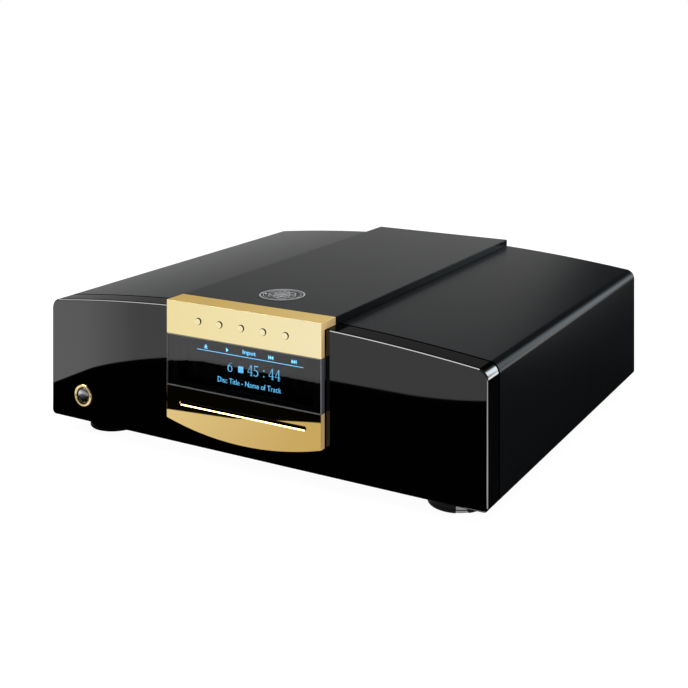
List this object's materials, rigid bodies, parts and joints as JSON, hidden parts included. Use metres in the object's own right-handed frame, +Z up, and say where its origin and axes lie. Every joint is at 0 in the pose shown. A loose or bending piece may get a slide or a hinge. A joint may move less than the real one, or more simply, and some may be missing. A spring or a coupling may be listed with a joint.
{
  "type": "cd player",
  "caption": "Full-width slot-loading disc player: gloss slab front, arched cover with a raised flat spine, and a gold and glass trim column with push buttons.",
  "frame": {"origin": "on the table, under the centre of the whole player's footprint", "axes": "+X to the right seen from the front, +Y from the front panel to the rear panel, +Z up"},
  "size_m": [0.45, 0.4126, 0.1429],
  "materials": {
    "gloss_black": "black piano lacquer, polished",
    "satin_black": "black satin coating",
    "gold": "polished gold plating",
    "smoked_glass": "dark display glass",
    "silver": "turned, bright",
    "zinc_steel": "zinc-plated sheet",
    "black_plastic": "fine textured moulding",
    "white_plastic": "natural acetal",
    "rubber": "matt",
    "felt": "black felt",
    "circuit_board": "green solder mask",
    "copper_winding": "varnished winding"
  },
  "bodies": {
    "housing": {"badge": "silver", "bottom_chassis": "zinc_steel", "button_bar": "gold", "button_board": "circuit_board", "coax_output": "gold", "cover_screw_1": "zinc_steel", "cover_screw_2": "zinc_steel", "cover_screw_3": "zinc_steel", "cover_screw_4": "zinc_steel", "dac_board": "circuit_board", "display_module": "black_plastic", "display_ribbon": "white_plastic", "display_window": "smoked_glass", "drive_frame": "zinc_steel", "drive_top_plate": "zinc_steel", "foot_front_left": "gloss_black", "foot_front_right": "gloss_black", "foot_rear_left": "gloss_black", "foot_rear_right": "gloss_black", "front_frame": "zinc_steel", "front_panel": "gloss_black", "guide_rod_left": "silver", "guide_rod_right": "silver", "loading_motor": "silver", "main_cover": "satin_black", "mains_cable": "black_plastic", "mains_inlet": "black_plastic", "power_bezel": "gold", "power_board": "circuit_board", "power_switch": "black_plastic", "rca_left": "gold", "rca_right": "gold", "rear_panel": "satin_black", "sled_motor": "silver", "slot_felt": "felt", "slot_plate": "gold", "spindle_motor": "silver", "spine_cover": "satin_black", "toroidal_transformer": "copper_winding", "trim_carrier": "black_plastic", "usb_input": "zinc_steel", "xlr_left": "zinc_steel", "xlr_right": "zinc_steel"},
    "button_eject": {"button_eject": "gold"},
    "button_play": {"button_play": "gold"},
    "button_input": {"button_input": "gold"},
    "button_previous": {"button_previous": "gold"},
    "button_next": {"button_next": "gold"},
    "power_button": {"power_button": "gloss_black"},
    "mains_rocker": {"mains_rocker": "black_plastic"},
    "fuse_drawer": {"fuse_drawer": "black_plastic"},
    "spindle_hub": {"spindle_hub": "black_plastic"},
    "laser_sled": {"laser_sled": "black_plastic"},
    "lead_screw": {"lead_screw": "silver"},
    "loading_roller": {"loading_roller": "rubber", "roller_gear": "white_plastic"},
    "motor_pinion": {"motor_pinion": "white_plastic"},
    "clamp_arm": {"clamp_arm": "zinc_steel"},
    "clamp_puck": {"clamp_puck": "black_plastic"},
    "cam_slide": {"cam_slide": "white_plastic"}
  },
  "joints": [
    {"name": "eject_press", "type": "slide", "parent": "housing", "child": "button_eject", "axis": [0, 1, 0], "range_m": [0, 0.0008]},
    {"name": "play_press", "type": "slide", "parent": "housing", "child": "button_play", "axis": [0, 1, 0], "range_m": [0, 0.0008]},
    {"name": "input_press", "type": "slide", "parent": "housing", "child": "button_input", "axis": [0, 1, 0], "range_m": [0, 0.0008]},
    {"name": "previous_press", "type": "slide", "parent": "housing", "child": "button_previous", "axis": [0, 1, 0], "range_m": [0, 0.0008]},
    {"name": "next_press", "type": "slide", "parent": "housing", "child": "button_next", "axis": [0, 1, 0], "range_m": [0, 0.0008]},
    {"name": "power_press", "type": "slide", "parent": "housing", "child": "power_button", "axis": [0, 1, 0], "range_m": [0, 0.002]},
    {"name": "mains_rock", "type": "hinge", "parent": "housing", "child": "mains_rocker", "pos_m": [-0.17, 0.19587, 0.0871], "axis": [1, 0, 0], "range_deg": [0, 20]},
    {"name": "fuse_drawer_slide", "type": "slide", "parent": "housing", "child": "fuse_drawer", "axis": [0, 1, 0], "range_m": [0, 0.014]},
    {"name": "spindle_spin", "type": "hinge", "parent": "housing", "child": "spindle_hub", "pos_m": [0, -0.09312, 0.0424], "axis": [0, 0, 1], "continuous": true},
    {"name": "sled_travel", "type": "slide", "parent": "housing", "child": "laser_sled", "axis": [0, 1, 0], "range_m": [0, 0.036]},
    {"name": "lead_screw_spin", "type": "hinge", "parent": "housing", "child": "lead_screw", "pos_m": [0.033, -0.08563, 0.0381], "axis": [0, 1, 0], "range_deg": [0, 2165]},
    {"name": "roller_spin", "type": "hinge", "parent": "housing", "child": "loading_roller", "pos_m": [0, -0.16012, 0.048], "axis": [1, 0, 0], "continuous": true},
    {"name": "pinion_spin", "type": "hinge", "parent": "housing", "child": "motor_pinion", "pos_m": [0, -0.1468, 0.0376], "axis": [1, 0, 0], "continuous": true},
    {"name": "cam_shift", "type": "slide", "parent": "housing", "child": "cam_slide", "axis": [0, 1, 0], "range_m": [0, 0.012]},
    {"name": "clamp_swing", "type": "hinge", "parent": "housing", "child": "clamp_arm", "pos_m": [0, -0.02813, 0.0604], "axis": [1, 0, 0], "range_deg": [0, 4]},
    {"name": "puck_spin", "type": "hinge", "parent": "clamp_arm", "child": "clamp_puck", "pos_m": [0, -0.09312, 0.0565], "axis": [0, 0, 1], "continuous": true}
  ],
  "couplings": [
    {"joint": "lead_screw_spin", "follows": "sled_travel", "rad_per_m": 1047.2},
    {"joint": "pinion_spin", "follows": "roller_spin", "ratio": -2.5},
    {"joint": "clamp_swing", "follows": "cam_shift", "rad_per_m": 5.7739}
  ]
}
